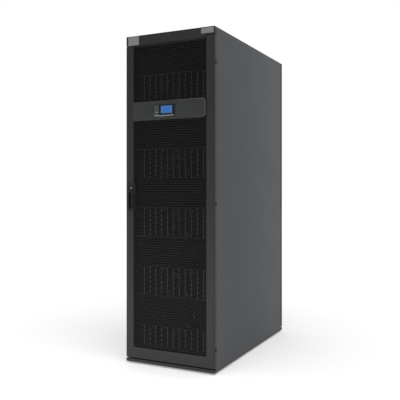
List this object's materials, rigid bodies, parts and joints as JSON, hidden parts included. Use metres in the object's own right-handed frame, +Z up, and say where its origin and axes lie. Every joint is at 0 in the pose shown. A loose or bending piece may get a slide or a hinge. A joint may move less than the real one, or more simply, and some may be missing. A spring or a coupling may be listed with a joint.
{
  "type": "in row cooling unit",
  "caption": "Tall perforated cabinet that draws warm air through a coil from behind and blows cool air forward between server racks.",
  "frame": {"origin": "centre of the footprint, on the floor", "axes": "+Z up; the front door faces -Y; +X is to the right seen from the front"},
  "size_m": [0.6, 1.2346, 2],
  "materials": {
    "frame_paint": "satin",
    "door_paint": "satin powder coat",
    "panel_paint": "satin powder coat",
    "guide_paint": "matte",
    "mesh_paint": "satin",
    "bezel_paint": "satin",
    "badge_silver": "brushed",
    "zinc": "zinc plated",
    "galvanised": "galvanised",
    "steel": "plain",
    "motor_grey": "satin",
    "fin_aluminium": "plain",
    "copper": "bare copper",
    "brass": "plain",
    "black_plastic": "fine texture",
    "lever_black": "satin",
    "impeller_plastic": "moulded",
    "button_grey": "satin",
    "screen_glass": "gloss",
    "switch_red": "satin",
    "filter_media": "pleated",
    "lock_chrome": "polished",
    "wheel_rubber": "matte"
  },
  "bodies": {
    "cabinet": {"base_frame": "frame_paint", "kick_plates": "door_paint", "posts_and_rails": "frame_paint", "top_frame": "frame_paint", "left_side_panel": "panel_paint", "right_side_panel": "panel_paint", "top_panel": "panel_paint", "entry_covers": "panel_paint", "header_fascias": "door_paint", "badge_plates": "badge_silver", "hinge_brackets": "zinc", "air_guides": "guide_paint", "fan_wall": "frame_paint", "fan_motors": "motor_grey", "fan_guards": "frame_paint", "coil_block": "fin_aluminium", "coil_tubes": "copper", "water_pipes": "steel", "control_valve": "brass", "drain_pan": "steel", "condensate_pump": "black_plastic", "filter_rack": "galvanised", "air_filters": "filter_media", "electrical_box": "panel_paint", "electrical_cover": "panel_paint"},
    "front_door": {"front_door_frame": "door_paint", "front_mesh": "mesh_paint", "display_bezel": "bezel_paint", "display_housing": "black_plastic", "display_screen": "screen_glass", "front_handle_dish": "black_plastic"},
    "rear_door": {"rear_door_frame": "door_paint", "rear_mesh": "mesh_paint", "rear_handle_dish": "black_plastic"},
    "display_button_1": {"display_button_1": "button_grey"},
    "display_button_2": {"display_button_2": "button_grey"},
    "front_handle_hub": {"front_handle_hub": "zinc"},
    "front_handle_lever": {"front_handle_lever": "lever_black"},
    "front_lock": {"front_lock": "lock_chrome"},
    "rear_handle_hub": {"rear_handle_hub": "zinc"},
    "rear_handle_lever": {"rear_handle_lever": "lever_black"},
    "rear_lock": {"rear_lock": "lock_chrome"},
    "main_switch": {"main_switch_knob": "switch_red"},
    "fan_1": {"fan_impeller_1": "impeller_plastic"},
    "fan_2": {"fan_impeller_2": "impeller_plastic"},
    "fan_3": {"fan_impeller_3": "impeller_plastic"},
    "fan_4": {"fan_impeller_4": "impeller_plastic"},
    "fan_5": {"fan_impeller_5": "impeller_plastic"},
    "caster_swivel_1": {"caster_fork_1": "zinc"},
    "caster_wheel_1": {"caster_wheel_1": "wheel_rubber"},
    "foot_1": {"levelling_foot_1": "zinc"},
    "caster_swivel_2": {"caster_fork_2": "zinc"},
    "caster_wheel_2": {"caster_wheel_2": "wheel_rubber"},
    "foot_2": {"levelling_foot_2": "zinc"},
    "caster_swivel_3": {"caster_fork_3": "zinc"},
    "caster_wheel_3": {"caster_wheel_3": "wheel_rubber"},
    "foot_3": {"levelling_foot_3": "zinc"},
    "caster_swivel_4": {"caster_fork_4": "zinc"},
    "caster_wheel_4": {"caster_wheel_4": "wheel_rubber"},
    "foot_4": {"levelling_foot_4": "zinc"}
  },
  "joints": [
    {"name": "front_door_swing", "type": "hinge", "parent": "cabinet", "child": "front_door", "pos_m": [0.292, -0.587, 1], "axis": [0, 0, 1], "range_deg": [0, 110]},
    {"name": "rear_door_swing", "type": "hinge", "parent": "cabinet", "child": "rear_door", "pos_m": [-0.292, 0.587, 1], "axis": [0, 0, 1], "range_deg": [0, 110]},
    {"name": "front_handle_turn", "type": "hinge", "parent": "front_door", "child": "front_handle_hub", "pos_m": [-0.25, -0.6, 0.952], "axis": [0, 1, 0], "range_deg": [0, 90]},
    {"name": "front_handle_lift", "type": "hinge", "parent": "front_handle_hub", "child": "front_handle_lever", "pos_m": [-0.25, -0.6118, 0.952], "axis": [1, 0, 0], "range_deg": [0, 25]},
    {"name": "front_lock_turn", "type": "hinge", "parent": "front_door", "child": "front_lock", "pos_m": [-0.2585, -0.6, 1.072], "axis": [0, 1, 0], "range_deg": [0, 90]},
    {"name": "rear_handle_turn", "type": "hinge", "parent": "rear_door", "child": "rear_handle_hub", "pos_m": [0.25, 0.6, 0.952], "axis": [0, -1, 0], "range_deg": [0, 90]},
    {"name": "rear_handle_lift", "type": "hinge", "parent": "rear_handle_hub", "child": "rear_handle_lever", "pos_m": [0.25, 0.6118, 0.952], "axis": [-1, 0, 0], "range_deg": [0, 25]},
    {"name": "rear_lock_turn", "type": "hinge", "parent": "rear_door", "child": "rear_lock", "pos_m": [0.2585, 0.6, 1.072], "axis": [0, -1, 0], "range_deg": [0, 90]},
    {"name": "display_button_1_press", "type": "slide", "parent": "front_door", "child": "display_button_1", "axis": [0, 1, 0], "range_m": [0, 0.001], "stiffness_N_per_m": 300, "springref_m": -0.001},
    {"name": "display_button_2_press", "type": "slide", "parent": "front_door", "child": "display_button_2", "axis": [0, 1, 0], "range_m": [0, 0.001], "stiffness_N_per_m": 300, "springref_m": -0.001},
    {"name": "fan_1_spin", "type": "hinge", "parent": "cabinet", "child": "fan_1", "pos_m": [0, -0.518, 0.2948], "axis": [0, 1, 0], "continuous": true},
    {"name": "fan_2_spin", "type": "hinge", "parent": "cabinet", "child": "fan_2", "pos_m": [0, -0.518, 0.6644], "axis": [0, 1, 0], "continuous": true},
    {"name": "fan_3_spin", "type": "hinge", "parent": "cabinet", "child": "fan_3", "pos_m": [0, -0.518, 1.034], "axis": [0, 1, 0], "continuous": true},
    {"name": "fan_4_spin", "type": "hinge", "parent": "cabinet", "child": "fan_4", "pos_m": [0, -0.518, 1.4036], "axis": [0, 1, 0], "continuous": true},
    {"name": "fan_5_spin", "type": "hinge", "parent": "cabinet", "child": "fan_5", "pos_m": [0, -0.518, 1.7732], "axis": [0, 1, 0], "continuous": true},
    {"name": "main_switch_turn", "type": "hinge", "parent": "cabinet", "child": "main_switch", "pos_m": [-0.2028, 0.446, 1.532], "axis": [0, 1, 0], "range_deg": [0, 90]},
    {"name": "caster_swivel_1_turn", "type": "hinge", "parent": "cabinet", "child": "caster_swivel_1", "pos_m": [0.215, -0.376, 0.06], "axis": [0, 0, 1], "continuous": true},
    {"name": "caster_wheel_1_roll", "type": "hinge", "parent": "caster_swivel_1", "child": "caster_wheel_1", "pos_m": [0.215, -0.394, 0.024], "axis": [1, 0, 0], "continuous": true},
    {"name": "foot_1_level", "type": "slide", "parent": "cabinet", "child": "foot_1", "axis": [0, 0, 1], "range_m": [-0.015, 0]},
    {"name": "caster_swivel_2_turn", "type": "hinge", "parent": "cabinet", "child": "caster_swivel_2", "pos_m": [-0.215, -0.376, 0.06], "axis": [0, 0, 1], "continuous": true},
    {"name": "caster_wheel_2_roll", "type": "hinge", "parent": "caster_swivel_2", "child": "caster_wheel_2", "pos_m": [-0.215, -0.394, 0.024], "axis": [1, 0, 0], "continuous": true},
    {"name": "foot_2_level", "type": "slide", "parent": "cabinet", "child": "foot_2", "axis": [0, 0, 1], "range_m": [-0.015, 0]},
    {"name": "caster_swivel_3_turn", "type": "hinge", "parent": "cabinet", "child": "caster_swivel_3", "pos_m": [0.215, 0.376, 0.06], "axis": [0, 0, 1], "continuous": true},
    {"name": "caster_wheel_3_roll", "type": "hinge", "parent": "caster_swivel_3", "child": "caster_wheel_3", "pos_m": [0.215, 0.358, 0.024], "axis": [1, 0, 0], "continuous": true},
    {"name": "foot_3_level", "type": "slide", "parent": "cabinet", "child": "foot_3", "axis": [0, 0, 1], "range_m": [-0.015, 0]},
    {"name": "caster_swivel_4_turn", "type": "hinge", "parent": "cabinet", "child": "caster_swivel_4", "pos_m": [-0.215, 0.376, 0.06], "axis": [0, 0, 1], "continuous": true},
    {"name": "caster_wheel_4_roll", "type": "hinge", "parent": "caster_swivel_4", "child": "caster_wheel_4", "pos_m": [-0.215, 0.358, 0.024], "axis": [1, 0, 0], "continuous": true},
    {"name": "foot_4_level", "type": "slide", "parent": "cabinet", "child": "foot_4", "axis": [0, 0, 1], "range_m": [-0.015, 0]}
  ]
}
